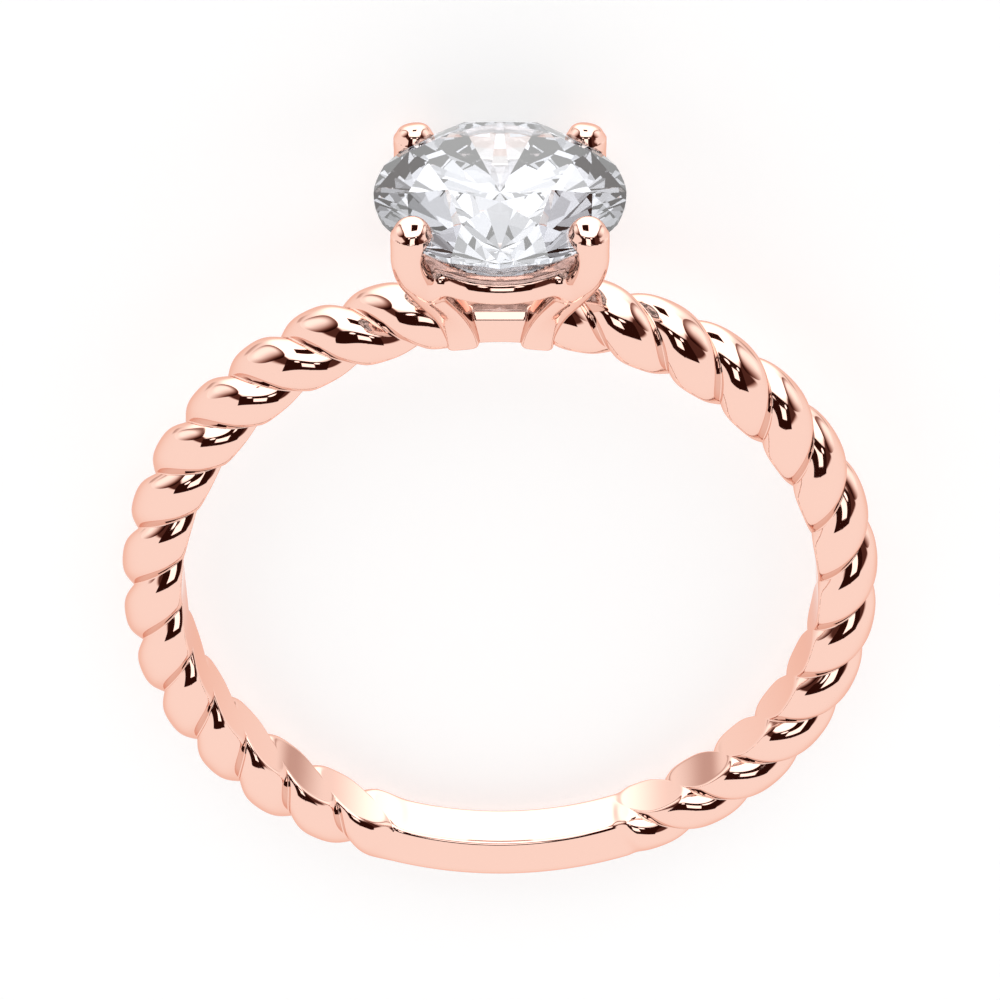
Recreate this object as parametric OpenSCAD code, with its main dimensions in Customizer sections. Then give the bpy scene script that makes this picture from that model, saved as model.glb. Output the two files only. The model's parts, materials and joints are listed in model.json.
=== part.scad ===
// Twisted shank solitaire ring with a round brilliant stone.
// It lies on its side as it rests on a table: the head is on the +Y side and
// the finger hole runs close to upright. The origin is under the middle of the
// ring's box, on the table.

/* [Finger hole] */
// Inside diameter of the ring
finger_d = 17.3; // [15:0.1:21]

/* [Twisted shank] */
// Diameter of each of the two twisted strands
strand_d = 1.42; // [1.2:0.02:1.7]
// How far the two strands run into each other at the middle of the twist
strand_bite = 0.75; // [0.5:0.01:0.9]
// How deep the finger hole shaves the twist
shave = 0.43; // [0.3:0.01:0.5]
// Full turns of the twist in one circle of the shank
turns = 16.1; // [10:0.1:20]
// Place of a strand's outermost point right of the head, in degrees
right_crest_deg = 38.8; // [30:0.1:45]
// Place of a strand's outermost point left of the head, in degrees
left_crest_deg = -39.4; // [-45:0.1:-30]
// How much smaller the twist is where it runs into the plain bar, as a share
end_taper = 0.06; // [0:0.01:0.3]
// Stretch of shank over which the twist shrinks, in degrees
taper_deg = 24; // [5:1:40]

/* [Plain bar] */
// Width of the plain bar at the bottom of the ring
bar_w = 1.5; // [1.2:0.05:2.2]
// Thickness of the plain bar
bar_t = 1.4; // [1:0.05:1.8]
// Corner radius on the outside of the bar
bar_outer_round = 0.45; // [0.2:0.05:0.55]
// Corner radius beside the finger
bar_inner_round = 0.15; // [0.05:0.05:0.3]
// Reach of the bar from the bottom of the ring towards the right, in degrees
bar_right_deg = 22.7; // [10:0.5:40]
// Reach of the bar from the bottom of the ring towards the left, in degrees
bar_left_deg = 19.2; // [10:0.5:40]

/* [Stone] */
// Diameter of the stone at its girdle
stone_d = 6.5; // [5.5:0.1:8]
// Diameter of the table across its corners
table_d = 3.7; // [3:0.1:4.2]
// Slope of the crown's main facets, in degrees
crown_slope = 34; // [30:0.5:38]
// Slope of the pavilion's main facets, in degrees
pavilion_slope = 40.8; // [38:0.2:43]
// Thickness of the girdle at its thickest, where the main facets reach it
girdle_t = 0.16; // [0.14:0.02:0.3]
// Height of the stone's lowest point above the finger hole
culet_lift = 1.27; // [0.9:0.01:2.5]

/* [Head] */
// Diameter of a prong's wire
prong_d = 0.88; // [0.76:0.02:1.1]
// Diameter of the ball that ends a prong as its claw
claw_d = 1.0; // [0.94:0.02:1.3]
// How far the stone's edge lies inside a prong's wire
prong_bite = 0.35; // [0.2:0.01:0.45]
// Height of a prong's claw above the girdle
claw_h = 0.75; // [0.5:0.05:1.1]
// How far the seat rail's lower edge runs into the prongs
rail_bite = 0.42; // [0.2:0.02:0.5]
// Width of the seat rail across its section
rail_w = 0.6; // [0.45:0.05:0.9]
// Height of the seat rail
rail_h = 0.6; // [0.4:0.05:0.9]
// Drop from the girdle to the top of the seat rail
rail_drop = 1.05; // [0.8:0.05:1.4]
// Corner radius of the seat rail
rail_round = 0.18; // [0.05:0.01:0.2]
// Width of the bridge between the feet, along the finger
bridge_w = 1.5; // [1.3:0.1:2]
// Height of the bridge above the finger hole
bridge_h = 0.85; // [0.6:0.05:1.3]
// Distance between the middles of the two feet, across the finger
feet_gap = 1.9; // [1.5:0.1:2.6]
// Distance between the middles of the front and back feet, along the finger
feet_depth = 1.1; // [0.8:0.1:1.8]

/* [Fit] */
// Clearance between the stone and the metal
stone_gap = 0.03; // [0.02:0.01:0.06]

/* [Hidden] */

finger_r = finger_d / 2;

// The twist: two round strands wound about one middle line
strand_r = strand_d / 2;
helix_r = strand_r - strand_bite / 2;
twist_r = helix_r + strand_r;
twist_mid_r = finger_r + twist_r - shave;
strand_lay = atan(helix_r * turns / twist_mid_r);
strand_half_w = strand_r / cos(strand_lay);
// Steps along one turn of the twist and points on one strand
steps_per_turn = 12;
points_per_strand = 8;
// The finger hole's true wall is a band along its middle, and the rest of the
// twist is polished back from it by a hair
band_w = 1.0;
band_t = 0.2;
polish = 0.02;
// The ends of the twist lie inside the feet and inside the bar
head_end_deg = 6.5;
seam_overlap_deg = 0.6;
right_end_deg = 180 - bar_right_deg + seam_overlap_deg;
left_end_deg = 180 - bar_left_deg + seam_overlap_deg;

// The stone's levels above the finger's middle
stone_r = stone_d / 2;
table_r = table_d / 2;
culet_h = finger_r + culet_lift;
pavilion_depth = stone_r * tan(pavilion_slope);
girdle_low_h = culet_h + pavilion_depth;
girdle_high_h = girdle_low_h + girdle_t;
girdle_h = (girdle_low_h + girdle_high_h) / 2;
table_h = girdle_high_h + (stone_r - table_r) * tan(crown_slope);
// Facet corners: star tips between table and girdle, and the tips of the
// lower halves between point and girdle, as shares
star_share = 0.5;
lower_tip_share = 0.2;
// Main facets round the stone, each with a half facet on both sides
main_count = 8;
main_deg = 360 / main_count;
half_deg = main_deg / 2;
halves = 2 * main_count;
// Flat steps along the girdle under one half facet
girdle_steps = 4;
girdle_n = halves * girdle_steps;

// The head's levels and reaches
rail_top_h = girdle_h - rail_drop;
rail_low_h = rail_top_h - rail_h;
prong_reach = (stone_r - prong_bite + prong_d / 2) / sqrt(2);
claw_top_h = girdle_h + claw_h;
claw_r = claw_d / 2;
claw_mid_h = claw_top_h - claw_r;
foot_x = feet_gap / 2;
foot_z = feet_depth / 2;
// A prong's stations: height as a share of the way from the finger hole's top
// to the claw's middle, reach as a share of the way from the foot out to the
// widest place, and width as a share of the wire
PRONG_HEIGHT = 0;
PRONG_OUT = 1;
PRONG_WIDTH = 2;
prong_stations = [
    [-0.07, -0.02, 1.04],
    [0.04, 0.02, 1.02],
    [0.16, 0.10, 1.00],
    [0.31, 0.28, 0.98],
    [0.47, 0.54, 0.98],
    [0.61, 0.77, 0.98],
    [0.71, 0.90, 1.00],
    [0.80, 0.97, 1.00],
    [0.90, 1.00, 1.00],
    [1.00, 0.91, 0.98]
];
prong_sides = 16;
// The rail runs into the prongs at its lower edge, where they stand closest
rail_out = lookup(
    (rail_low_h - finger_r) / (claw_mid_h - finger_r),
    [for (station = prong_stations) [station[PRONG_HEIGHT], station[PRONG_OUT]]]
);
rail_r = norm([
    foot_x + (prong_reach - foot_x) * rail_out,
    foot_z + (prong_reach - foot_z) * rail_out
]) - prong_d / 2 + rail_bite;

// How the ring rests: the girdle's edge and the twist beside the bar touch
rest_far_h = twist_mid_r * cos(max(bar_left_deg, bar_right_deg));
rest_tilt = atan((stone_r - twist_r) / (girdle_h + rest_far_h));
rest_lift = stone_r * cos(rest_tilt) - girdle_h * sin(rest_tilt);
// How far the finger hole's middle lies behind the middle of the ring's box
claw_mid = prong_point(prong_stations[len(prong_stations) - 1]);
claw_end_y = claw_mid.y * cos(rest_tilt) + claw_mid.z * sin(rest_tilt) + claw_r;
table_end_y = table_h * cos(rest_tilt) + table_r * sin(rest_tilt);
bar_end_y = (finger_r + bar_t) * cos(rest_tilt)
    + (bar_w / 2 - bar_outer_round) * sin(rest_tilt);
rest_back = (max(claw_end_y, table_end_y) - bar_end_y) / 2;

// Distance from the twist's middle to its surface, at an angle from a crest
function twist_surface(angle) =
    let (
        a = pow(cos(angle) / strand_r, 2) + pow(sin(angle) / strand_half_w, 2),
        b = abs(cos(angle)) * helix_r / pow(strand_r, 2),
        c = pow(helix_r / strand_r, 2) - 1
    )
    (b + sqrt(b * b - a * c)) / a;

// Size of the twist at a place on the shank, where end is its end at the bar
function twist_size(place, end) =
    let (t = min(1, max(0, (abs(place) - (end - taper_deg)) / taper_deg)))
    1 - end_taper * t * t * (3 - 2 * t);

// A point of the ring from its distance, place on the circle and depth
function on_ring(distance, place, depth) =
    [distance * sin(place), distance * cos(place), depth];

// One ring of points round the twist at a place on the shank
function twist_section(place, end, crest) =
    let (
        size = twist_size(place, end),
        middle = finger_r + (twist_r - shave) * size,
        phase = (place - crest) * turns,
        n = 2 * points_per_strand
    )
    [for (i = [0:n - 1])
        let (
            angle = i * 360 / n,
            reach = size * twist_surface(angle)
        )
        on_ring(
            max(finger_r + polish, middle + reach * cos(phase + angle)),
            place,
            reach * sin(phase + angle)
        )
    ];

// Faces of a skin over rows of points, whose ends close on two middle points
function skin_faces(rows, n) = concat(
    [for (i = [0:n - 1]) [rows * n, i, (i + 1) % n]],
    [for (r = [0:rows - 2], i = [0:n - 1])
        [r * n + i, (r + 1) * n + i, r * n + (i + 1) % n]],
    [for (r = [0:rows - 2], i = [0:n - 1])
        [r * n + (i + 1) % n, (r + 1) * n + i, (r + 1) * n + (i + 1) % n]],
    [for (i = [0:n - 1])
        [rows * n + 1, (rows - 1) * n + (i + 1) % n, (rows - 1) * n + i]]
);

// Middle of a row of points
function row_middle(row) =
    [for (axis = [0:2]) [for (point = row) point[axis]] * [for (point = row) 1] / len(row)];

// A closed skin over a list of rows of points
module skin(rows) {
    ends = [row_middle(rows[0]), row_middle(rows[len(rows) - 1])];
    polyhedron(
        points = concat([for (row = rows) each row], ends),
        faces = skin_faces(len(rows), len(rows[0])),
        convexity = 10
    );
}

// The twist on one side of the ring; side is 1 on the right, -1 on the left
module twist(side, end, crest) {
    steps = ceil((end - head_end_deg) * turns / 360 * steps_per_turn);
    places = [for (i = [0:steps]) head_end_deg + (end - head_end_deg) * i / steps];
    ordered = side > 0 ? places : [for (i = [steps:-1:0]) -places[i]];
    skin([for (place = ordered) twist_section(place, end, crest)]);
}

// The bar's section, with x as the distance from the finger's middle
module bar_section() {
    full = bar_w / 2;
    outer = min(bar_outer_round, full, bar_t - bar_inner_round);
    inner = bar_inner_round;
    outer_r = finger_r + bar_t;
    translate([finger_r + inner, -full])
        square([bar_t - inner - outer, bar_w]);
    translate([finger_r, -full + inner])
        square([bar_t / 2, bar_w - 2 * inner]);
    translate([finger_r + bar_t / 2, -full + outer])
        square([bar_t / 2, bar_w - 2 * outer]);
    for (side = [-1, 1]) {
        translate([finger_r + inner, side * (full - inner)])
            circle(r = inner, $fn = 32);
        translate([outer_r - outer, side * (full - outer)])
            circle(r = outer, $fn = 48);
    }
}

// The plain bar at the bottom of the ring
module plain_bar() {
    rotate([0, 0, -90 - bar_left_deg])
        rotate_extrude(angle = bar_left_deg + bar_right_deg, $fn = 360)
            bar_section();
}

// The band that carries the finger hole's true wall
module finger_band() {
    rotate_extrude($fn = 360)
        translate([finger_r, -band_w / 2])
            square([band_t, band_w]);
}

// A prong's middle line at a station
function prong_point(station) =
    let (
        side = foot_x + (prong_reach - foot_x) * station[PRONG_OUT],
        front = foot_z + (prong_reach - foot_z) * station[PRONG_OUT],
        height = finger_r + (claw_mid_h - finger_r) * station[PRONG_HEIGHT]
    )
    [side, height, front];

// One ring of points round a prong, square to its middle line
function prong_section(k) =
    let (
        last = len(prong_stations) - 1,
        here = prong_point(prong_stations[k]),
        run = prong_point(prong_stations[min(last, k + 1)])
            - prong_point(prong_stations[max(0, k - 1)]),
        along = run / norm(run),
        outward = [1, 0, 1] / sqrt(2),
        across = cross(along, outward) / norm(cross(along, outward)),
        out = cross(across, along),
        r = prong_d / 2 * prong_stations[k][PRONG_WIDTH]
    )
    [for (i = [0:prong_sides - 1])
        let (angle = i * 360 / prong_sides)
        here + r * (cos(angle) * out + sin(angle) * across)
    ];

// One prong with its claw
module prong() {
    skin([for (k = [0:len(prong_stations) - 1]) prong_section(k)]);
    translate(prong_point(prong_stations[len(prong_stations) - 1]))
        sphere(r = claw_r, $fn = 48);
}

// The four prongs
module prongs() {
    for (side = [0, 1], front = [0, 1])
        mirror([side, 0, 0])
            mirror([0, 0, front])
                prong();
}

// The seat rail's section, with x as the distance from the head's middle
module rail_section() {
    r = min(rail_round, rail_w / 2.2, rail_h / 2.2);
    translate([rail_r - rail_w, r])
        square([rail_w, rail_h - 2 * r]);
    translate([rail_r - rail_w + r, 0])
        square([rail_w - 2 * r, rail_h]);
    for (x = [rail_r - rail_w + r, rail_r - r], y = [r, rail_h - r])
        translate([x, y])
            circle(r = r, $fn = 32);
}

// The seat rail under the stone
module seat_rail() {
    translate([0, rail_low_h, 0])
        rotate([-90, 0, 0])
            rotate_extrude($fn = 180)
                rail_section();
}

// The bridge between the feet, down to the finger hole
module bridge() {
    sink = 0.4;
    translate([-foot_x, finger_r - sink, -bridge_w / 2])
        cube([feet_gap, bridge_h + sink, bridge_w]);
}

// The space that the stone and its clearance take out of the metal
module stone_pocket() {
    g = stone_gap;
    translate([0, culet_h - g / cos(pavilion_slope), 0])
        rotate([-90, 0, 0])
            rotate_extrude($fn = 180)
                polygon([
                    [0, 0],
                    [stone_r + g, (stone_r + g) * tan(pavilion_slope)],
                    [stone_r + g, girdle_high_h - culet_h + 2 * g],
                    [table_r, table_h - culet_h + 2 * g],
                    [table_r, table_h - culet_h + stone_r],
                    [0, table_h - culet_h + stone_r]
                ]);
}

// The finger hole, a true cylinder through the whole ring
module finger_hole() {
    cylinder(r = finger_r, h = 2 * stone_d, center = true, $fn = 360);
}

// The head: feet, bridge, prongs and rail, cut for the finger and the stone
module head() {
    difference() {
        union() {
            bridge();
            seat_rail();
            prongs();
        }
        finger_hole();
        stone_pocket();
    }
}

// A point of the stone from its radius, its place in degrees and its height
function stone_point(radius, place, height) =
    [radius * cos(place), height, radius * sin(place)];

// Height over a spot of the flat facet that three points lie in
function facet_height(p, q, s, spot) =
    let (n = cross(q - p, s - p))
    p.y - (n.x * (spot.x - p.x) + n.z * (spot.z - p.z)) / n.y;

// Height of a main facet at a radius, at an angle from the facet's middle,
// for a facet that climbs from the girdle at a slope (downwards if negative)
function main_height(rim, slope, radius, off) =
    rim + (stone_r - radius * cos(off)) * tan(slope);

// A row of points along the girdle, cut by the half facets above or below it
function girdle_row(rim, slope, tip_r) =
    let (
        tip = stone_point(tip_r, half_deg, main_height(rim, slope, tip_r, half_deg)),
        start = stone_point(stone_r, 0, rim),
        middle = stone_point(stone_r, half_deg, rim),
        heights = [for (k = [0:girdle_steps])
            facet_height(tip, start, middle,
                stone_point(stone_r, half_deg * k / girdle_steps, 0))]
    )
    [for (half = [0:halves - 1], k = [0:girdle_steps - 1])
        stone_point(stone_r, half_deg * (half + k / girdle_steps),
            heights[half % 2 == 0 ? k : girdle_steps - k])
    ];

// The tips where two half facets and two main facets meet
function half_tips(rim, slope, tip_r) =
    [for (i = [0:main_count - 1])
        stone_point(tip_r, main_deg * i + half_deg,
            main_height(rim, slope, tip_r, half_deg))];

// Half facets from the tips down to the girdle, for rows of points that start
// at the numbers tips and girdle
function half_faces(tips, girdle) =
    [for (half = [0:halves - 1])
        [tips + floor(half / 2),
            for (k = [0:girdle_steps])
                girdle + (half * girdle_steps + k) % girdle_n]];

// Main facets between a row's corners, two tips and the girdle; the corners
// are one point where they all meet in the stone's lowest point
function main_faces(corner_of, tips, girdle) =
    [for (i = [0:main_count - 1])
        [corner_of[i], tips + (i + main_count - 1) % main_count,
            girdle + 2 * i * girdle_steps, tips + i]];

// Faces turned inside out
function turned(faces) =
    [for (face = faces) [for (i = [len(face) - 1:-1:0]) face[i]]];

// The round brilliant: table, stars, mains and halves above the girdle, and
// halves and mains down to a point below it
module brilliant() {
    star_r = table_r + (stone_r - table_r) * star_share;
    lower_r = stone_r * lower_tip_share;
    tips = main_count;
    upper = tips + main_count;
    lower = upper + girdle_n;
    lower_tips = lower + girdle_n;
    culet = lower_tips + main_count;
    polyhedron(
        points = concat(
            [for (i = [0:main_count - 1]) stone_point(table_r, main_deg * i, table_h)],
            half_tips(girdle_high_h, crown_slope, star_r),
            girdle_row(girdle_high_h, crown_slope, star_r),
            girdle_row(girdle_low_h, -pavilion_slope, lower_r),
            half_tips(girdle_low_h, -pavilion_slope, lower_r),
            [[0, culet_h, 0]]
        ),
        faces = concat(
            [[for (i = [0:main_count - 1]) i]],
            [for (i = [0:main_count - 1]) [i, tips + i, (i + 1) % main_count]],
            main_faces([for (i = [0:main_count - 1]) i], tips, upper),
            half_faces(tips, upper),
            [for (k = [0:girdle_n - 1])
                [upper + (k + 1) % girdle_n, upper + k, lower + k,
                    lower + (k + 1) % girdle_n]],
            turned(half_faces(lower_tips, lower)),
            turned(main_faces([for (i = [0:main_count - 1]) culet], lower_tips, lower))
        ),
        convexity = 4
    );
}

// Both pieces lie as the ring rests
module resting() {
    translate([0, -rest_back, rest_lift])
        rotate([rest_tilt, 0, 0])
            children();
}

module shank_and_head() {
    color([0.93, 0.66, 0.56])
        resting()
            union() {
                twist(1, right_end_deg, right_crest_deg);
                twist(-1, left_end_deg, left_crest_deg);
                finger_band();
                plain_bar();
                head();
            }
}

module round_stone() {
    color([0.92, 0.94, 0.97])
        resting()
            brilliant();
}

shank_and_head();
round_stone();
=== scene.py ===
"""Looks of the twisted shank ring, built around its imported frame.

The ring lies on its side. Its own directions come from the finger hole in the
frame: right, towards the stone, and out of the front of the hole. Shapes are
laid out in millimetres along those directions and then placed in the frame.
"""
import json
from functools import reduce
from itertools import product
from math import cos, pi, radians, sin

import bpy
import numpy as np
from mathutils import Matrix, Vector


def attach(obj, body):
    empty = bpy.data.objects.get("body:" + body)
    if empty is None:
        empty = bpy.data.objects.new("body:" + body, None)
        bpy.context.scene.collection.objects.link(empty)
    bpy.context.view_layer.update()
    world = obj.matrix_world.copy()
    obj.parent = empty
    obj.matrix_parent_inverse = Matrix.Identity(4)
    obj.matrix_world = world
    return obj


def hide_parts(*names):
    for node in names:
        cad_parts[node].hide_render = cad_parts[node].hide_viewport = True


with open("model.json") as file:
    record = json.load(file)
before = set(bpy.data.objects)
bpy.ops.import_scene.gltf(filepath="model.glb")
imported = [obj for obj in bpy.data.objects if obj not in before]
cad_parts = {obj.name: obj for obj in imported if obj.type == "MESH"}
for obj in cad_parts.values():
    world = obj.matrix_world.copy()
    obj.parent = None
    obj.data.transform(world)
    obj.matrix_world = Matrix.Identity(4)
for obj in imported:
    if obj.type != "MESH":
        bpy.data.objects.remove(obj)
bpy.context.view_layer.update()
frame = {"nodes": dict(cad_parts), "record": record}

# The ring's own directions, from its finger hole

MM = 0.001
hole = next(m for m in frame["record"]["mounts"] if m["name"] == "finger_bore")
HOLE_MIDDLE = Vector(hole["pos_m"])
TO_FRONT = Vector(hole["axis"]).normalized()
TO_RIGHT = Vector((1, 0, 0))
TO_STONE = TO_FRONT.cross(TO_RIGHT)
RING_AXES = np.array([TO_RIGHT, TO_STONE, TO_FRONT])


def placed(points):
    """Points in millimetres along the ring's directions, moved into the frame."""
    return np.asarray(points) * MM @ RING_AXES + np.array(HOLE_MIDDLE)


# Sizes in millimetres and places in degrees clockwise from the stone. Where the
# two sides of the ring differ, 1 is its right side and -1 its left.

FINGER_R = hole["dims"]["r_mm"]

# The twist: two round strands, sunk into each other, whose middle line lies so
# close to the finger hole that the hole shaves them
STRAND_R = 0.71
STRAND_BITE = 0.75
SHAVE = 0.43
# Turns that it would make in a full circle, and a place where a crest stands
# straight out
TURNS = 16.1
CREST_PLACE = {1: 38.8, -1: -39.4}
HELIX_R = STRAND_R - STRAND_BITE / 2
TWIST_R = HELIX_R + STRAND_R
TWIST_MID_R = FINGER_R + TWIST_R - SHAVE
# A leaning strand is wider where it is cut straight across the twist
STRAND_HALF_W = STRAND_R / cos(np.arctan(HELIX_R * TURNS / TWIST_MID_R))
TWIST_START = 6.0
# It gets smaller by this share over its last degrees
END_TAPER = 0.06
TAPER_SPAN = 24

# The plain bar: its section, how far it reaches from the ring's bottom, over
# how many degrees the twist blends into it, and how far its own mesh reaches
BAR_W = 1.5
BAR_T = 1.4
BAR_CORNER = 0.42
BAR_INNER_CORNER = 0.2
BAR_REACH = {1: 22.7, -1: 19.2}
BAR_BLEND = {1: 2.5, -1: 5.0}
BAR_END = 12

# The soft edge that polishing leaves round the finger hole
POLISHED_EDGE = 0.1

# Steps of the meshes along the twist, along the bar and around both, and steps
# that walk inwards to the bar's surface
TWIST_STEPS = 756
BAR_STEPS = 40
AROUND = 128
WALK_STEPS = 24

# The head's prongs. A prong's middle line: distance to the side, height and
# distance to the front, then its width as a share of the wire's, and how square
# it is, where 2 is round.
PRONG_D = 0.88
PRONG_PATH = [
    (0.94, 8.35, 0.57, 1.00, 4.5),
    (0.97, 8.80, 0.60, 0.99, 4.2),
    (1.10, 9.36, 0.74, 0.97, 3.6),
    (1.35, 10.03, 1.06, 0.96, 3.0),
    (1.72, 10.73, 1.52, 0.96, 2.4),
    (2.04, 11.36, 1.94, 0.98, 2.0),
    (2.22, 11.78, 2.17, 1.00, 2.0),
    (2.32, 12.18, 2.30, 1.00, 2.0),
    (2.36, 12.60, 2.35, 1.00, 2.0),
    (2.25, 13.02, 2.25, 0.98, 2.0),
]
PRONG_STEPS = 30
# The round claw on each prong: how far it is to the side and to the front, its
# height, and the flatter dome on top of it, which leans outwards
CLAW_R = 0.5
CLAW_OUT = 2.23
CLAW_UP = 13.05
CLAW_BLEND = 0.25
CLAW_DOME_R = 2.0
CLAW_DOME_UP = 0.43
CLAW_DOME_LEAN = (0.13, 0.932, 0.34)
CLAW_DOME_BLEND = 0.1

# The head's seat rail, whose outer face is round, and its fillet to the prongs
RAIL_OUT_R = 2.65
RAIL_W = 0.6
RAIL_H = 0.6
RAIL_TOP = 11.75
RAIL_ROUND = 0.12
RAIL_FACE_R = 0.52
RAIL_FACE_DROP = 0.40
RAIL_FACE_BLEND = 0.06
RAIL_FILLET = 0.4

# The bridge between the head's feet. It reaches down past the hole's wall.
FOOT_X = 0.95
BRIDGE_W = 1.5
BRIDGE_TOP = 9.6
BRIDGE_HALF_H = 1
BRIDGE_CORNER = 0.05
BRIDGE_BEVEL = radians(32)
BRIDGE_BEVEL_DROP = 0.23
BRIDGE_BEVEL_BLEND = 0.03
BRIDGE_FILLET = 0.06

# The stone's room in the head: its pavilion's point, its widest part, the
# height where its crown starts, and its slopes
STONE_LOW = 9.92
STONE_R = 3.25
CROWN_START = 12.84
PAVILION_SLOPE = radians(40.8)
CROWN_SLOPE = 0.6
STONE_GAP = 0.03
SEAT_EDGE = 0.03

# The box that the head's mesh is looked for in, and the size of its cells
HEAD_LOW = 8.3
HEAD_ROOM = 0.15
CELL = 0.05
# How the mesh settles: rounds, and the least slope that a move is worked out for
SETTLE_ROUNDS = 2
LEAST_SLOPE = 0.5


# Meshes

def make_piece(name, points, normals, faces, material):
    """A new smooth piece that moves with the ring."""
    mesh = bpy.data.meshes.new(name)
    mesh.from_pydata(placed(points).tolist(), [], faces)
    mesh.validate()
    mesh.shade_smooth()
    mesh.normals_split_custom_set_from_vertices((normals @ RING_AXES).tolist())
    mesh.materials.append(material)
    piece = bpy.data.objects.new(name, mesh)
    bpy.context.scene.collection.objects.link(piece)
    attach(piece, "root")
    return piece


def unit(vectors):
    """Vectors brought to a length of one."""
    return vectors / np.linalg.norm(vectors, axis=-1, keepdims=True)


def skin(rows):
    """Points, normals and faces of a closed skin over rows of points.

    The first and the last row only lend their slope to their neighbours.
    """
    along = rows[2:] - rows[:-2]
    rows = rows[1:-1]
    around = np.roll(rows, -1, axis=1) - np.roll(rows, 1, axis=1)
    normals = unit(np.cross(around, along)).reshape(-1, 3)
    ends = unit(np.stack([rows[0] - rows[1], rows[-1] - rows[-2]]).mean(axis=1))
    normals = np.vstack([normals, ends])
    count, n = rows.shape[:2]
    start = np.arange(count - 1)[:, None] * n
    here = np.arange(n)[None, :]
    after = (here + 1) % n
    quads = np.stack(
        [start + here, start + after, start + n + after, start + n + here], axis=-1
    ).reshape(-1, 4)
    points = np.vstack([rows.reshape(-1, 3), rows[0].mean(0), rows[-1].mean(0)])
    first, last = count * n, count * n + 1
    caps = [[first, (i + 1) % n, i] for i in range(n)]
    top = (count - 1) * n
    caps += [[last, top + i, top + (i + 1) % n] for i in range(n)]
    return points, normals, quads.tolist() + caps


def smoothstep(low, high, value):
    """0 below low, 1 above high and a soft climb between."""
    t = np.clip((value - low) / (high - low), 0, 1)
    return t * t * (3 - 2 * t)


def soft_min(a, b, width):
    """The smaller of two distances, rounded where they meet."""
    h = np.maximum(width - np.abs(a - b), 0) / width
    return np.minimum(a, b) - h * h * width / 4


def soft_max(a, b, width):
    """The larger of two distances, rounded where they meet."""
    return -soft_min(-a, -b, width)


# The shank: the twist on both sides and the plain bar

def row_places(start, end, steps):
    """Places of a skin's rows, with one more beyond each end."""
    step = (end - start) / steps
    return np.linspace(start - step, end + step, steps + 3)[:, None]


def turn_round():
    """Angles once round a section."""
    return np.linspace(0, 2 * pi, AROUND, endpoint=False)[None, :]


def twist_reach(angle):
    """Distance from the twist's middle to its surface, at angles from a crest."""
    a = (np.cos(angle) / STRAND_R) ** 2 + (np.sin(angle) / STRAND_HALF_W) ** 2
    b = np.abs(np.cos(angle)) * HELIX_R / STRAND_R ** 2
    c = (HELIX_R / STRAND_R) ** 2 - 1
    return (b + np.sqrt(b * b - a * c)) / a


def bar_distance(out, depth):
    """Distance from the bar's rounded section, measured from its middle."""
    corner = np.where(out > 0, BAR_CORNER, BAR_INNER_CORNER)
    x = np.abs(out) - (BAR_T / 2 - corner)
    y = np.abs(depth) - (BAR_W / 2 - corner)
    outside = np.hypot(np.maximum(x, 0), np.maximum(y, 0))
    return outside + np.minimum(np.maximum(x, y), 0) - corner


def bar_reach(angle):
    """Distance from the bar's middle to its surface, at angles from outwards."""
    reach = np.full_like(angle, BAR_W)
    for _ in range(WALK_STEPS):
        reach -= bar_distance(reach * np.cos(angle), reach * np.sin(angle))
    return reach


def ring_rows(place, out, depth):
    """Rows of points from their places round the ring, distances and depths,
    where the finger hole cuts them with a soft edge."""
    out = soft_max(out, np.full_like(out, FINGER_R), POLISHED_EDGE)
    turn = np.radians(place)
    return np.stack([out * np.sin(turn), out * np.cos(turn), depth], axis=-1)


def make_twist(name, side, material):
    """The twist on one side, which runs out into the plain bar."""
    place = row_places(TWIST_START, 180 - BAR_END, TWIST_STEPS)
    seam = 180 - BAR_REACH[side]
    size = 1 - END_TAPER * smoothstep(seam - TAPER_SPAN, seam, place)
    phase = np.radians((side * place - CREST_PLACE[side]) * TURNS)
    turn = turn_round()
    angle = phase + turn
    into_bar = smoothstep(seam - BAR_BLEND[side], seam + BAR_BLEND[side] / 2, place)
    reach = (1 - into_bar) * size * twist_reach(turn) + into_bar * bar_reach(angle)
    middle = (1 - into_bar) * (TWIST_R - SHAVE) * size + into_bar * BAR_T / 2
    out = FINGER_R + middle + reach * np.cos(angle)
    rows = ring_rows(side * place, out, reach * np.sin(angle))
    return make_piece(name, *skin(rows[::side]), material)


def make_bar(material):
    """The plain bar at the bottom."""
    place = row_places(180 - BAR_END, 180 + BAR_END, BAR_STEPS)
    angle = turn_round() + 0 * place
    reach = bar_reach(angle)
    out = FINGER_R + BAR_T / 2 + reach * np.cos(angle)
    rows = ring_rows(place, out, reach * np.sin(angle))
    return make_piece("plain_bar", *skin(rows), material)


# The head is one smooth solid, from the distance to its surface

def path_near(stations, per_span):
    """A smooth line of points led by stations, which starts and ends on them."""
    s = np.array(stations)
    s = np.vstack([2 * s[0] - s[1], s, 2 * s[-1] - s[-2]])
    t = np.linspace(0, 1, per_span, endpoint=False)[:, None]
    spans = [
        ((1 - t) ** 3 * a + (3 * t ** 3 - 6 * t ** 2 + 4) * b
         + (-3 * t ** 3 + 3 * t ** 2 + 3 * t + 1) * c + t ** 3 * d) / 6
        for a, b, c, d in zip(s[:-3], s[1:-2], s[2:-1], s[3:])
    ]
    return np.vstack(spans + [s[-2][None]])


PRONG_LINE = path_near(PRONG_PATH, PRONG_STEPS)
PRONG_LEAN = np.gradient(PRONG_LINE[:, [0, 2]], PRONG_LINE[:, 1], axis=0)
NEAR_ZERO = 1e-9


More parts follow.
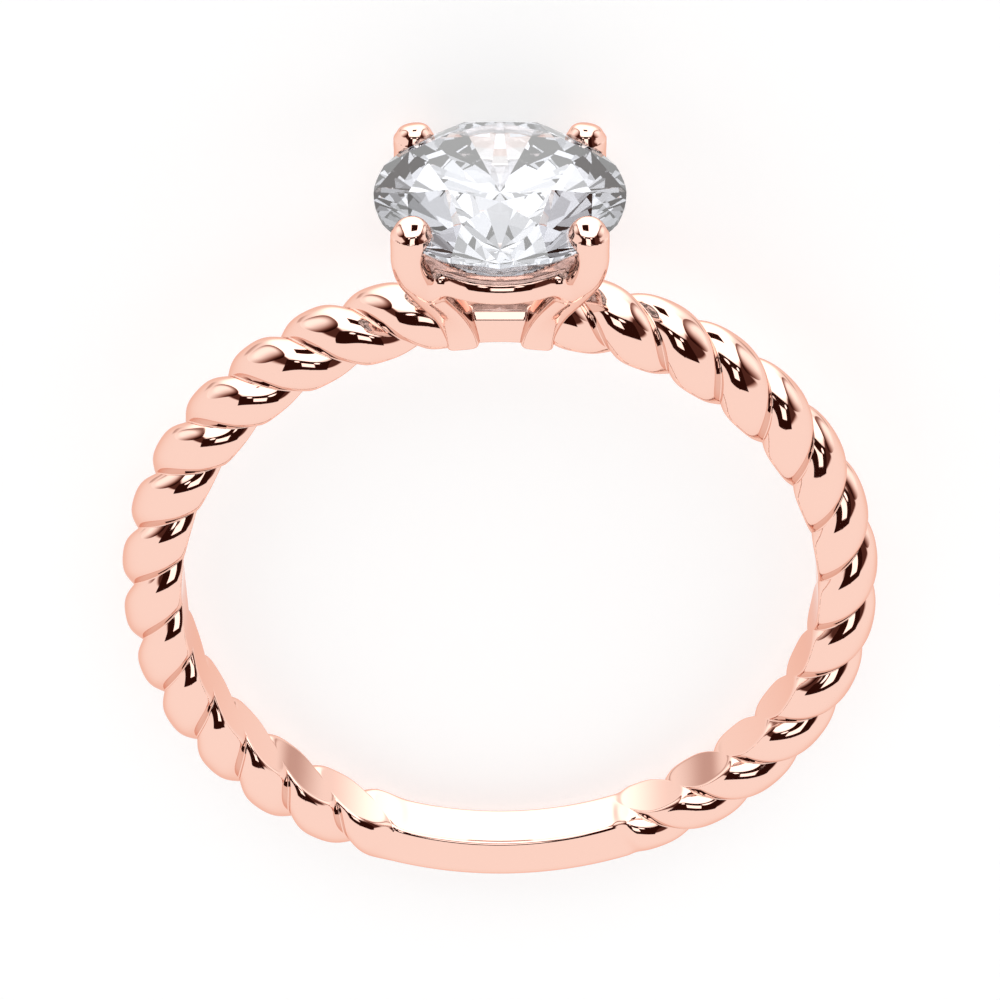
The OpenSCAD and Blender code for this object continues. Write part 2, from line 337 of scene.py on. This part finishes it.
def wire_distance(x, y, z):
    """Distance from one prong's wire, for points folded into its quarter."""
    line_y = PRONG_LINE[:, 1]
    side, front, width, square = (
        np.interp(y, line_y, PRONG_LINE[:, k]) for k in (0, 2, 3, 4)
    )
    lean_x, lean_z = (np.interp(y, line_y, PRONG_LEAN[:, k]) for k in (0, 1))
    off_x, off_z = x - side, z - front
    # A leaning wire is longer in its lean when it is cut level
    lean = lean_x ** 2 + lean_z ** 2 + NEAR_ZERO
    part = (off_x * lean_x + off_z * lean_z) / lean * (1 - 1 / np.sqrt(1 + lean))
    off_x, off_z = np.abs(off_x - part * lean_x), np.abs(off_z - part * lean_z)
    across = (off_x ** square + off_z ** square) ** (1 / square)
    return np.maximum(across - PRONG_D / 2 * width, y - line_y[-1])


def claw_distance(x, y, z):
    """Distance from one claw, a ball whose top is flatter."""
    off = np.stack([x - CLAW_OUT, y - CLAW_UP, z - CLAW_OUT])
    ball = np.sqrt((off ** 2).sum(0)) - CLAW_R
    low = np.array(CLAW_DOME_LEAN)[:, None] * (CLAW_DOME_R - CLAW_DOME_UP)
    dome = np.sqrt(((off + low) ** 2).sum(0)) - CLAW_DOME_R
    return soft_max(ball, dome, CLAW_DOME_BLEND)


def rounded_box(parts, halves, corner):
    """Distance from a box with rounded edges, from distances to its middle."""
    q = [np.abs(part) - half + corner for part, half in zip(parts, halves)]
    outside = np.sqrt(sum(np.maximum(v, 0) ** 2 for v in q))
    return outside + np.minimum(np.maximum.reduce(q), 0) - corner


def rail_distance(round_r, y):
    """Distance from the seat rail."""
    hoop = rounded_box(
        [round_r - RAIL_OUT_R + RAIL_W / 2, y - RAIL_TOP + RAIL_H / 2],
        [RAIL_W / 2, RAIL_H / 2], RAIL_ROUND,
    )
    face = np.hypot(
        round_r - RAIL_OUT_R + RAIL_FACE_R, y - RAIL_TOP + RAIL_FACE_DROP
    ) - RAIL_FACE_R
    return soft_max(hoop, face, RAIL_FACE_BLEND)


def bridge_distance(x, y, z):
    """Distance from the bridge, whose upper edges are bevelled."""
    block = rounded_box(
        [x, y - BRIDGE_TOP + BRIDGE_HALF_H, z],
        [FOOT_X, BRIDGE_HALF_H, BRIDGE_W / 2], BRIDGE_CORNER,
    )
    bevel = (
        (z - BRIDGE_W / 2) * cos(BRIDGE_BEVEL)
        + (y - BRIDGE_TOP + BRIDGE_BEVEL_DROP) * sin(BRIDGE_BEVEL)
    )
    return soft_max(block, bevel, BRIDGE_BEVEL_BLEND)


def stone_room(round_r, y):
    """Distance from the room that the stone and its gap take."""
    seat_h = STONE_LOW + (round_r - STONE_GAP) * np.tan(PAVILION_SLOPE)
    below = (seat_h - y) * cos(PAVILION_SLOPE)
    beside = round_r - STONE_R - STONE_GAP
    above = (y - CROWN_START) * cos(CROWN_SLOPE) + beside * sin(CROWN_SLOPE)
    return np.maximum.reduce([below, beside, above])


def head_distance(points):
    """Distance from the head's surface, less than zero inside the metal."""
    x, y, z = np.abs(points[:, 0]), points[:, 1], np.abs(points[:, 2])
    round_r = np.hypot(x, z)
    metal = soft_min(wire_distance(x, y, z), claw_distance(x, y, z), CLAW_BLEND)
    metal = soft_min(metal, rail_distance(round_r, y), RAIL_FILLET)
    metal = soft_min(metal, bridge_distance(x, y, z), BRIDGE_FILLET)
    metal = soft_max(metal, -stone_room(round_r, y), SEAT_EDGE)
    return soft_max(metal, FINGER_R - np.hypot(x, y), POLISHED_EDGE)


def slope_of(distance, points, reach):
    """Which way and how fast a distance grows at points."""
    return np.stack(
        [(distance(points + reach * e) - distance(points - reach * e)) / (2 * reach)
         for e in np.eye(3)], axis=1,
    )


def edge_ends(axis, others=slice(None)):
    """Picks of both ends of a grid's edges along an axis."""
    a, b = [others] * 3, [others] * 3
    a[axis], b[axis] = slice(0, -1), slice(1, None)
    return tuple(a), tuple(b)


def cell_spots(d):
    """Which cells of a grid the surface passes through, and where in each.

    A cell's spot is the middle of the places where the surface crosses its edges.
    """
    inside = d < 0
    cells = [n - 1 for n in d.shape]
    total, count = np.zeros(cells + [3]), np.zeros(cells)
    for axis in range(3):
        a, b = edge_ends(axis)
        crosses = inside[a] != inside[b]
        share = np.where(crosses, d[a] / np.where(crosses, d[a] - d[b], 1), 0)
        u, v = (k for k in range(3) if k != axis)
        for i, j in product((0, 1), repeat=2):
            pick = [slice(None)] * 3
            pick[u], pick[v] = slice(i, i + cells[u]), slice(j, j + cells[v])
            hit = crosses[tuple(pick)]
            count += hit
            total[..., axis] += np.where(hit, share[tuple(pick)], 0)
            total[..., u] += np.where(hit, i, 0)
            total[..., v] += np.where(hit, j, 0)
    used = count > 0
    return used, total[used] / count[used][:, None]


def cell_faces(inside, used):
    """Faces between the cells' points: each crossed edge has four cells round it."""
    number = np.full(used.shape, -1)
    number[used] = np.arange(used.sum())
    faces = []
    for axis in range(3):
        a, b = edge_ends(axis, slice(1, -1))
        crosses = inside[a] != inside[b]
        u, v = (k for k in range(3) if k != axis)
        after = np.argwhere(crosses)
        after[:, [u, v]] += 1
        corners = []
        for back_u, back_v in ((1, 1), (0, 1), (0, 0), (1, 0)):
            at = after.copy()
            at[:, u] -= back_u
            at[:, v] -= back_v
            corners.append(number[tuple(at.T)])
        quads = np.stack(corners, axis=1)
        flip = inside[a][crosses] == (axis == 1)
        quads[flip] = quads[flip][:, ::-1]
        faces.append(quads)
    return np.vstack(faces)


def settled(distance, points, step):
    """Points moved along the slope onto the surface itself."""
    for _ in range(SETTLE_ROUNDS):
        slope = slope_of(distance, points, step / 20)
        length = np.maximum((slope ** 2).sum(1), LEAST_SLOPE ** 2)
        move = slope * (distance(points) / length)[:, None]
        far = np.maximum(np.linalg.norm(move, axis=1) / (step / 2), 1)
        points = points - move / far[:, None]
    return points


def surface_of(distance, low, high, step):
    """Points, normals and faces where a distance is zero, in a box cut into
    small cells."""
    axes = [np.arange(a, b + step, step) for a, b in zip(low, high)]
    grid = np.stack(np.meshgrid(*axes, indexing="ij"), axis=-1)
    d = distance(grid.reshape(-1, 3)).reshape(grid.shape[:3])
    used, spots = cell_spots(d)
    points = settled(distance, grid[:-1, :-1, :-1][used] + spots * step, step)
    normals = unit(slope_of(distance, points, step / 4))
    return points, normals, cell_faces(d < 0, used).tolist()


def make_head(material):
    """Feet, bridge, prongs, claws and seat rail as one body."""
    reach = CLAW_OUT + CLAW_R + HEAD_ROOM
    low = (-reach, HEAD_LOW, -reach)
    high = (reach, CLAW_UP + CLAW_R + HEAD_ROOM, reach)
    step = CELL
    return make_piece("head", *surface_of(head_distance, low, high, step), material)


# Materials

class Tree:
    """Short ways to add nodes to a node tree."""

    def __init__(self, tree):
        self.nodes = tree.nodes
        self.links = tree.links

    def put(self, kind, **settings):
        """A new node with its settings."""
        node = self.nodes.new(kind)
        for name, value in settings.items():
            setattr(node, name, value)
        return node

    def feed(self, node, socket, value):
        """Link a node's input to an output, or set its value."""
        socket = node.inputs[socket]
        if isinstance(value, bpy.types.NodeSocket):
            self.links.new(value, socket)
        else:
            socket.default_value = value

    def math(self, operation, *values):
        """The result of a maths node."""
        node = self.put("ShaderNodeMath", operation=operation)
        for k, value in enumerate(values):
            self.feed(node, k, value)
        return node.outputs[0]

    def times(self, *values):
        """The product of values."""
        return reduce(lambda a, b: self.math("MULTIPLY", a, b), values)

    def ramp(self, value, low, high, start=0.0, end=1.0):
        """A soft climb from start to end as a value goes from low to high."""
        node = self.put("ShaderNodeMapRange", interpolation_type="SMOOTHSTEP")
        for name, given in (("Value", value), ("From Min", low), ("From Max", high),
                            ("To Min", start), ("To Max", end)):
            self.feed(node, name, given)
        return node.outputs["Result"]

    def band(self, value, low, full, full_end, end):
        """Inside of a soft band, which is full from full to full_end."""
        return self.times(
            self.ramp(value, low, full), self.ramp(value, full_end, end, 1, 0)
        )

    def mix(self, share, a, b):
        """a where share is 0 and b where it is 1."""
        node = self.put("ShaderNodeMix")
        for name, value in (("Factor", share), ("A", a), ("B", b)):
            self.feed(node, name, value)
        return node.outputs["Result"]

    def mix_colour(self, share, a, b):
        """Colour a where share is 0 and b where it is 1."""
        node = self.put("ShaderNodeMix", data_type="RGBA")
        self.feed(node, 0, share)
        for k, value in ((6, a), (7, b)):
            self.feed(node, k, (*value, 1) if isinstance(value, tuple) else value)
        return node.outputs[2]

    def noise(self, place, scale, detail):
        """Soft noise from 0 to 1."""
        node = self.put("ShaderNodeTexNoise")
        for name, value in (("Vector", place), ("Scale", scale), ("Detail", detail)):
            self.feed(node, name, value)
        return node.outputs["Fac"]


def new_material(name):
    """A material with its node tree and its shader."""
    material = bpy.data.materials.new(name)
    material.use_nodes = True
    shader = material.node_tree.nodes["Principled BSDF"]
    return material, Tree(material.node_tree), shader


def new_group(name, **outputs):
    """A node group with named outputs, and its node tree."""
    group = bpy.data.node_groups.new(name, "ShaderNodeTree")
    for output, kind in outputs.items():
        group.interface.new_socket(output, in_out="OUTPUT", socket_type=kind)
    return group, Tree(group)


GOLD = (0.94, 0.62, 0.52)
GOLD_EDGE = (0.88, 0.62, 0.54)
# Gold that is seen in other gold, and gold that is seen through the stone
GOLD_IN_GOLD = (0.86, 0.75, 0.71)
GOLD_THROUGH_STONE = (0.80, 0.76, 0.75)
# Roughness where the polish is clear and where it is hazy
POLISH_SHINE = (0.025, 0.075)
# Broad and fine haze: scale and detail of the noise, where it starts and is
# full, and its share of all the haze
HAZES = [(420, 2, 0.35, 0.7, 0.6), (5200, 3, 0.4, 0.8, 0.4)]
# The polish's slight waves
WAVE_SCALE = 900
WAVE_STRENGTH = 0.05
WAVE_HEIGHT = 0.04 * MM


def polish_group():
    """Node group: how hazy the hand polish is over the metal, from 0 to 1, and
    the slight waves that it leaves."""
    group, tree = new_group(
        "hand_polish", Haze="NodeSocketFloat", Normal="NodeSocketVector"
    )
    place = tree.put("ShaderNodeTexCoord").outputs["Object"]
    broad, fine = (
        tree.ramp(tree.noise(place, scale, detail), start, full, 0, share)
        for scale, detail, start, full, share in HAZES
    )
    bump = tree.put("ShaderNodeBump")
    tree.feed(bump, "Strength", WAVE_STRENGTH)
    tree.feed(bump, "Distance", WAVE_HEIGHT)
    tree.feed(bump, "Height", tree.noise(place, WAVE_SCALE, 1))
    out = tree.put("NodeGroupOutput")
    tree.feed(out, "Haze", tree.math("ADD", broad, fine))
    tree.feed(out, "Normal", bump.outputs["Normal"])
    return group


def polished_gold():
    """Mirror polished rose gold."""
    material, tree, shader = new_material("rose_gold_polished")
    polish = tree.put("ShaderNodeGroup", node_tree=polish_group()).outputs
    path = tree.put("ShaderNodeLightPath").outputs
    colour = tree.mix_colour(path["Is Glossy Ray"], GOLD, GOLD_IN_GOLD)
    colour = tree.mix_colour(path["Is Transmission Ray"], colour, GOLD_THROUGH_STONE)
    tree.feed(shader, "Base Color", colour)
    tree.feed(shader, "Specular Tint", (*GOLD_EDGE, 1))
    tree.feed(shader, "Metallic", 1)
    tree.feed(shader, "Roughness", tree.ramp(polish["Haze"], 0, 1, *POLISH_SHINE))
    tree.feed(shader, "Normal", polish["Normal"])
    return material


DIAMOND_IOR = 2.42
# Painted light: the facets' tones, painted for the light that each one sends,
# lie between these two. Facets that are turned from each other by more than
# this share have painted tones of their own.
PAINTED_FACET_LIGHT = ((0.90, 0.93, 0.97), (1, 1, 1))
FACET_TURN = 0.02


def painted_facet_group():
    """Node group: a painted light tone for each facet, as the cutter's angles sort the
    light.
    """
    group, tree = new_group("painted_facet_light", Color="NodeSocketColor")
    facing = tree.put("ShaderNodeNewGeometry").outputs["True Normal"]
    snap = tree.put("ShaderNodeVectorMath", operation="SNAP")
    tree.feed(snap, 0, facing)
    tree.feed(snap, 1, (FACET_TURN,) * 3)
    chance = tree.put("ShaderNodeTexWhiteNoise")
    tree.feed(chance, "Vector", snap.outputs["Vector"])
    out = tree.put("NodeGroupOutput")
    tree.feed(out, "Color", tree.mix_colour(chance.outputs["Value"], *PAINTED_FACET_LIGHT))
    return group


def diamond():
    """Clear cut stone."""
    material, tree, shader = new_material("diamond")
    facets = tree.put("ShaderNodeGroup", node_tree=painted_facet_group()).outputs
    # The stone's colour carries the painted light of its facets
    tree.feed(shader, "Base Color", facets["Color"])
    tree.feed(shader, "Roughness", 0)
    tree.feed(shader, "IOR", DIAMOND_IOR)
    tree.feed(shader, "Transmission Weight", 1)
    return material


FLOOR_TONE = (0.55, 0.55, 0.55)
FLOOR_ROUGHNESS = 0.9
FLOOR_GLOW = 0.54
FLOOR_SIZE = 2.0


def pale_floor():
    """Plain white table top, which glows a little so that it stays white round
    the ring. The metal and the stone mirror the studio, not the table, because
    nothing stands under the ring in the photograph."""
    material, tree, shader = new_material("floor_white")
    tree.feed(shader, "Base Color", (*FLOOR_TONE, 1))
    tree.feed(shader, "Roughness", FLOOR_ROUGHNESS)
    tree.feed(shader, "Emission Color", (1, 1, 1, 1))
    tree.feed(shader, "Emission Strength", FLOOR_GLOW)
    path = tree.put("ShaderNodeLightPath").outputs
    mirrored = tree.math("MAXIMUM", path["Is Glossy Ray"], path["Is Transmission Ray"])
    clear = tree.put("ShaderNodeBsdfTransparent")
    mix = tree.put("ShaderNodeMixShader")
    tree.feed(mix, 0, mirrored)
    tree.feed(mix, 1, shader.outputs["BSDF"])
    tree.feed(mix, 2, clear.outputs["BSDF"])
    tree.feed(tree.nodes["Material Output"], "Surface", mix.outputs["Shader"])
    return material


def make_floor():
    """The table top that the ring lies on."""
    bpy.ops.mesh.primitive_plane_add(size=FLOOR_SIZE, location=(0, 0, 0))
    floor = bpy.context.object
    floor.name = "floor"
    floor.data.materials.append(pale_floor())


# The studio: soft light from all round, with bright walls behind the stone and
# the ring, a dark card in front of the ring, and an oval reflector on each side
# of the card. The card, the reflectors and a small card overhead lie on planes
# one away from the ring, and their sizes are measured on those planes.

STUDIO_SOFT = 1.04
STUDIO_BACKDROP = 1.15
# The least share of a direction that points at a plane it is said to meet
GRAZING = 0.05
# The card's middle, towards the stone from straight out of the front
CARD_RISE = radians(25)
CARD_LIGHT = 0.006
# Middle and half size of the card, of its window and lamps, which have their
# light too, and of the card overhead
CARD = (0, 0, 0.70, 0.42)
WINDOW = (0.04, 0.02, 0.20, 0.15, 1.7)
LAMPS = [(-0.30, 0.26, 0.09, 0.06, 2.0), (0.34, 0.26, 0.09, 0.06, 2.0)]
OVERHEAD = (0, -0.135, 0.17, 0.205)
PANEL_BLUR = 0.01
LAMP_BLUR = 0.2
# Where the bright wall behind the stone starts and is full, as the share of a
# direction that points to the stone
WALL_START = 0.66
WALL_FULL = 0.80
WALL_LIGHT = 2.1
# The bright wall behind the ring, which the bar's inner face mirrors
BEHIND_RISE = radians(45)
BEHIND_FULL = radians(25)
BEHIND_REACH = radians(43)
BEHIND_LIGHT = 2.0
# A dim stand on each side of that wall: its band sideways, as the share of
# sideways to backwards, and its band upwards
STAND_OUT = (0.5, 0.7, 1.0, 1.3)
STAND_UP = (0.01, 0.09, 0.11, 0.27)
STAND_LIGHT = 0.52
# The oval reflector on each side: its middle and half size, how it tilts, its
# dark rim, which is fainter at its foot, and how it fades forwards
SIDE_RISE = radians(33)
OVAL = {1: (-0.20, -0.07, 0.68, 0.38), -1: (-0.20, 0.03, 0.68, 0.42)}
OVAL_TILT = 0.18
OVAL_RIM = (0.45, 0.95, 0.98, 1.05)
OVAL_RIM_DIP = 0.88
OVAL_FOOT = (-0.4, 0.15, 0.2, 1.0)
OVAL_LIGHT = 1.4
OVAL_BLUR = 0.05
SIDE_FADE = (-0.3, 0.42)
SIDE_SHADE = 0.03
# The shade that joins it to the card: where it starts forwards, and its band
# upwards
SHADE_START = (0.3, 0.45)
SHADE_UP = {1: (-0.42, -0.25, 0.25, 0.4), -1: (-0.12, 0.0, 0.33, 0.42)}
# The gold gives shade a warmer tone: how its red and blue follow its green
SHADE_RED = 0.72
SHADE_BLUE = 1.08
# What the stone gathers: a share of the light over an even tone, and patches
# with where they start and are full, and their light there
STONE_SHARE = 0.225
STONE_EVEN = 0.40
STONE_TINT = {"Red": 0.975, "Green": 0.985, "Blue": 1.04}
PATCH_SCALE = 3.2
PATCH_SPAN = (0.42, 0.58)
PATCH_LIGHT = (-0.13, 0.36)


class Studio(Tree):
    """Nodes that read the direction that light comes from."""

    def __init__(self, tree):
        super().__init__(tree)
        self.towards = self.put("ShaderNodeTexCoord").outputs["Generated"]

    def along(self, axis):
        """The share of the direction that points along an axis."""
        node = self.put("ShaderNodeVectorMath", operation="DOT_PRODUCT")
        self.feed(node, 0, self.towards)
        self.feed(node, 1, tuple(axis))
        return node.outputs["Value"]

    def plane(self, out, across, up):
        """Where the direction meets a plane that faces the ring: across and up
        on it, and 1 where it meets it at all."""
        ahead = self.along(out)
        near = self.math("MAXIMUM", ahead, GRAZING)
        return (
            self.math("DIVIDE", self.along(across), near),
            self.math("DIVIDE", self.along(up), near),
            self.math("GREATER_THAN", ahead, GRAZING),
        )

    def panel(self, x, y, middle_x, middle_y, half_w, half_h):
        """Inside of a rectangle on a plane."""
        sides = [
            self.ramp(
                self.math("ABSOLUTE", self.math("SUBTRACT", value, middle)),
                half - PANEL_BLUR, half + PANEL_BLUR, 1, 0,
            )
            for value, middle, half in ((x, middle_x, half_w), (y, middle_y, half_h))
        ]
        return self.times(*sides)

    def from_middle(self, off_x, off_y, half_w, half_h):
        """Distance from an oval's middle, as a share of its rim's."""
        off_x = self.math("DIVIDE", off_x, half_w)
        off_y = self.math("DIVIDE", off_y, half_h)
        square = self.math("ADD", self.times(off_x, off_x), self.times(off_y, off_y))
        return self.math("SQRT", square)

    def lamp(self, x, y, middle_x, middle_y, half_w, half_h):
        """Inside of a soft oval on a plane."""
        off_x = self.math("SUBTRACT", x, middle_x)
        off_y = self.math("SUBTRACT", y, middle_y)
        far = self.from_middle(off_x, off_y, half_w, half_h)
        return self.ramp(far, 1 - LAMP_BLUR, 1 + LAMP_BLUR, 1, 0)


def bright_walls(studio):
    """Soft light from all round and the bright walls behind."""
    _, stone, front = RING_AXES
    wall = studio.ramp(studio.along(stone), WALL_START, WALL_FULL)
    light = studio.mix(wall, STUDIO_SOFT, WALL_LIGHT)
    behind = stone * sin(BEHIND_RISE) - front * cos(BEHIND_RISE)
    lit = studio.ramp(studio.along(behind), cos(BEHIND_REACH), cos(BEHIND_FULL))
    return studio.mix(lit, light, BEHIND_LIGHT)


def dim_stands(studio, light):
    """Adds the stands on both sides of the wall behind the ring."""
    right, stone, front = RING_AXES
    backwards = studio.math("MAXIMUM", studio.along(-front), GRAZING)
    sideways = studio.math("ABSOLUTE", studio.along(right))
    stand = studio.times(
        studio.band(studio.math("DIVIDE", sideways, backwards), *STAND_OUT),
        studio.band(studio.along(stone), *STAND_UP),
    )
    return studio.mix(stand, light, STAND_LIGHT)


def card_overhead(studio, light):
    """Adds the small dark card over the stone."""
    right, stone, front = RING_AXES
    x, y, meets = studio.plane(stone, right, front)
    card = studio.times(studio.panel(x, y, *OVERHEAD), meets)
    return studio.mix(card, light, CARD_LIGHT)


def side_reflector(studio, light, side):
    """Adds one side's oval reflector and the shade that joins it to the card."""
    right, stone, front = RING_AXES
    out = right * side * cos(SIDE_RISE) + stone * sin(SIDE_RISE)
    up = stone * cos(SIDE_RISE) - right * side * sin(SIDE_RISE)
    forwards, upwards, meets = studio.plane(out, front, up)
    shade = studio.times(
        studio.band(upwards, *SHADE_UP[side]), studio.ramp(forwards, *SHADE_START), meets
    )
    light = studio.mix(shade, light, SIDE_SHADE)
    middle_x, middle_y, half_w, half_h = OVAL[side]
    off_x = studio.math("SUBTRACT", forwards, middle_x)
    off_y = studio.math("SUBTRACT", upwards, middle_y)
    off_y = studio.math("SUBTRACT", off_y, studio.times(off_x, OVAL_TILT))
    far = studio.from_middle(off_x, off_y, half_w, half_h)
    rim = studio.times(
        studio.band(far, *OVAL_RIM), OVAL_RIM_DIP, studio.ramp(upwards, *OVAL_FOOT)
    )
    glow = studio.ramp(forwards, *SIDE_FADE, OVAL_LIGHT, SIDE_SHADE)
    glow = studio.times(glow, studio.math("SUBTRACT", 1, rim))
    inside = studio.times(studio.ramp(far, 1, 1 + OVAL_BLUR, 1, 0), meets)
    return studio.mix(inside, light, glow)


def card_in_front(studio, light):
    """Adds the dark card in front of the ring, with its window and lamps."""
    right, stone, front = RING_AXES
    out = front * cos(CARD_RISE) + stone * sin(CARD_RISE)
    up = stone * cos(CARD_RISE) - front * sin(CARD_RISE)
    x, y, meets = studio.plane(out, right, up)
    *place, glow = WINDOW
    on_card = studio.mix(studio.panel(x, y, *place), CARD_LIGHT, glow)
    for *place, glow in LAMPS:
        on_card = studio.mix(studio.lamp(x, y, *place), on_card, glow)
    return studio.mix(studio.times(meets, studio.panel(x, y, *CARD)), light, on_card)


def mirrored_light(studio, light):
    """The light that the gold mirrors, with warmer shade."""
    shade = studio.math("MINIMUM", light, 1)
    glow = studio.math("MAXIMUM", light, 1)
    red, blue = (
        studio.times(studio.math("POWER", shade, power), glow)
        for power in (SHADE_RED, SHADE_BLUE)
    )
    return {"Red": red, "Green": light, "Blue": blue}


def gathered_light(studio, light):
    """The light that the stone gathers: a paler room with brighter patches."""
    room = studio.math("MULTIPLY_ADD", light, STONE_SHARE, STONE_EVEN)
    cloud = studio.noise(studio.towards, PATCH_SCALE, 1)
    patches = studio.ramp(cloud, *PATCH_SPAN, *PATCH_LIGHT)
    through = studio.math("ADD", room, patches)
    return {name: studio.times(through, tint) for name, tint in STONE_TINT.items()}


def make_studio():
    """The light round the ring. The camera itself sees a plain backdrop."""
    world = bpy.data.worlds.new("studio")
    bpy.context.scene.world = world
    world.use_nodes = True
    studio = Studio(world.node_tree)
    light = bright_walls(studio)
    light = dim_stands(studio, light)
    light = card_overhead(studio, light)
    for side in (-1, 1):
        light = side_reflector(studio, light, side)
    light = card_in_front(studio, light)
    mirrored = mirrored_light(studio, light)
    gathered = gathered_light(studio, light)
    path = studio.put("ShaderNodeLightPath").outputs
    colour = studio.put("ShaderNodeCombineColor")
    for name in ("Red", "Green", "Blue"):
        value = studio.mix(path["Is Transmission Ray"], mirrored[name], gathered[name])
        value = studio.mix(path["Is Camera Ray"], value, STUDIO_BACKDROP)
        studio.feed(colour, name, value)
    studio.feed(studio.nodes["Background"], "Color", colour.outputs["Color"])


# Camera, at the photograph's angle to the ring: above its front, looking
# down its hole, with the stone at the top of the picture

CAMERA_RISE = radians(37.264)
# Millimetres to the point it looks at, and from the hole's middle to that point
CAMERA_FAR = 130.6
CAMERA_AIM = 2.9457
CAMERA_NEAREST = 0.01
CAMERA_FARTHEST = 10
SENSOR_W = 36
PICTURE_W = 1000
PIXELS_PER_MM = 37.1247


def make_camera():
    """The camera at the photograph's angle."""
    away = np.array([0, sin(CAMERA_RISE), cos(CAMERA_RISE)]) @ RING_AXES
    up = np.array([0, cos(CAMERA_RISE), -sin(CAMERA_RISE)]) @ RING_AXES
    aim = placed([0, CAMERA_AIM, 0])
    right = np.cross(up, away)
    data = bpy.data.cameras.new("camera")
    data.sensor_width = SENSOR_W
    data.lens = PIXELS_PER_MM * CAMERA_FAR * SENSOR_W / PICTURE_W
    data.clip_start, data.clip_end = CAMERA_NEAREST, CAMERA_FARTHEST
    camera = bpy.data.objects.new("camera", data)
    matrix = Matrix.Identity(4)
    spot = aim + away * CAMERA_FAR * MM
    for row in range(3):
        matrix[row][0], matrix[row][1] = right[row], up[row]
        matrix[row][2], matrix[row][3] = away[row], spot[row]
    camera.matrix_world = matrix
    bpy.context.scene.collection.objects.link(camera)
    bpy.context.scene.camera = camera


make_camera()

gold = polished_gold()
metal = [
    make_twist("twist_right", 1, gold),
    make_twist("twist_left", -1, gold),
    make_bar(gold),
    make_head(gold),
]
for piece in metal:
    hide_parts("shank_and_head")

stone = frame["nodes"]["round_stone"]
stone.data.materials.clear()
stone.data.materials.append(diamond())
# A clear stone lets the light through to the floor behind it
stone.visible_shadow = False

make_floor()
make_studio()
bpy.context.scene.view_settings.view_transform = "Standard"
